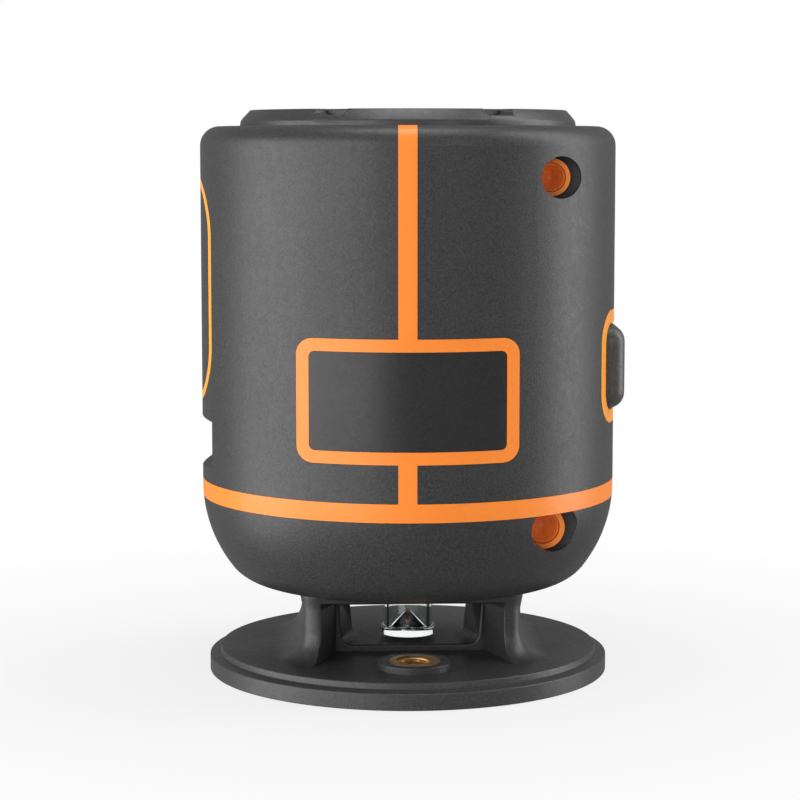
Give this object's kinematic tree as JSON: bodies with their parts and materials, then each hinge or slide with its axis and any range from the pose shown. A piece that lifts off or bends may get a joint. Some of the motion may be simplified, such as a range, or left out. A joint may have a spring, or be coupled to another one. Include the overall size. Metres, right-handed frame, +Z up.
{
  "type": "line laser level",
  "caption": "Drum-shaped self-levelling line laser on a round swivel foot, with a brake button, keypad, charging flap, battery cap and tripod thread.",
  "frame": {"origin": "middle of the foot's underside, on the axis of the drum", "axes": "+Z up along the drum's axis, -Y towards the label side, +X towards the side button"},
  "size_m": [0.0813, 0.08, 0.1089],
  "materials": {
    "dark_plastic": "matte",
    "orange_plastic": "satin",
    "black_plastic": "matte",
    "cap_plastic": "matte",
    "foot_plastic": "satin",
    "rubber": "matte",
    "clear_glass": "polished",
    "brass": "satin",
    "steel": "satin",
    "aluminium": "satin",
    "board": "satin",
    "magnet": "polished",
    "cell_wrap": "satin",
    "lead_red": "satin"
  },
  "bodies": {
    "base": {"pedestal": "foot_plastic", "tripod_insert": "brass", "foot_pad": "rubber", "swivel_retainer": "black_plastic", "retainer_screws": "steel"},
    "head": {"rear_jacket_left": "dark_plastic", "rear_jacket_right": "dark_plastic", "label_panel": "dark_plastic", "rear_bowl_jacket": "dark_plastic", "front_jacket_left": "dark_plastic", "front_jacket_right": "dark_plastic", "front_bowl_jacket": "dark_plastic", "keypad_panel": "dark_plastic", "rear_housing": "orange_plastic", "front_housing": "orange_plastic", "keypad_bezel": "orange_plastic", "button_bezel": "orange_plastic", "battery_tray": "black_plastic", "swivel_hub": "black_plastic", "swivel_nut": "black_plastic", "key_switches": "black_plastic", "power_switch": "black_plastic", "buzzer": "black_plastic", "cap_seal": "rubber", "front_window": "clear_glass", "housing_screws": "steel", "board_screws": "steel", "yoke_screws": "steel", "yoke_bearings": "steel", "battery_contacts": "steel", "charge_socket": "steel", "gimbal_yoke": "aluminium", "main_board": "board", "keypad_board": "board", "button_board": "board", "damping_magnets": "magnet", "battery_cells": "cell_wrap", "battery_leads": "lead_red"},
    "gimbal": {"gimbal_ring": "aluminium", "ring_pins": "steel", "ring_bearings": "steel"},
    "pendulum": {"pendulum_frame": "aluminium", "pendulum_pins": "steel", "counterweight": "brass", "trim_screws": "steel", "vertical_laser": "aluminium", "line_lens": "clear_glass", "bottom_laser": "aluminium", "collimator_lens": "clear_glass", "laser_diodes": "brass", "emitter_glass": "clear_glass", "cone_prism": "clear_glass", "damping_plate": "aluminium"},
    "battery_cap": {"battery_cap": "cap_plastic"},
    "side_button": {"power_button": "black_plastic", "brake_pad": "rubber"},
    "upper_key": {"key_upper": "rubber"},
    "middle_key": {"key_middle": "rubber"},
    "lower_key": {"key_lower": "rubber"},
    "charge_flap": {"port_flap": "rubber"}
  },
  "joints": [
    {"name": "head_swivel", "type": "hinge", "parent": "base", "child": "head", "pos_m": [0, 0, 0.0176], "axis": [0, 0, 1], "continuous": true},
    {"name": "gimbal_tilt", "type": "hinge", "parent": "head", "child": "gimbal", "pos_m": [0, 0, 0.068], "axis": [1, 0, 0], "range_deg": [-3, 3]},
    {"name": "pendulum_tilt", "type": "hinge", "parent": "gimbal", "child": "pendulum", "pos_m": [0, 0, 0.068], "axis": [0, 1, 0], "range_deg": [-3, 3]},
    {"name": "cap_twist", "type": "hinge", "parent": "head", "child": "battery_cap", "pos_m": [0, 0, 0.1058], "axis": [0, 0, 1], "range_deg": [0, 40]},
    {"name": "button_press", "type": "slide", "parent": "head", "child": "side_button", "axis": [-1, 0, 0], "range_m": [0, 0.0012], "stiffness_N_per_m": 400, "springref_m": -0.002},
    {"name": "upper_key_press", "type": "slide", "parent": "head", "child": "upper_key", "axis": [1, 0, 0], "range_m": [0, 0.0005], "stiffness_N_per_m": 1500, "springref_m": -0.0004},
    {"name": "middle_key_press", "type": "slide", "parent": "head", "child": "middle_key", "axis": [1, 0, 0], "range_m": [0, 0.0005], "stiffness_N_per_m": 1500, "springref_m": -0.0004},
    {"name": "lower_key_press", "type": "slide", "parent": "head", "child": "lower_key", "axis": [1, 0, 0], "range_m": [0, 0.0005], "stiffness_N_per_m": 1500, "springref_m": -0.0004},
    {"name": "flap_swing", "type": "hinge", "parent": "head", "child": "charge_flap", "pos_m": [-0.03657, 0.0088, 0.0458], "axis": [0, 0, -1], "range_deg": [0, 110]}
  ]
}
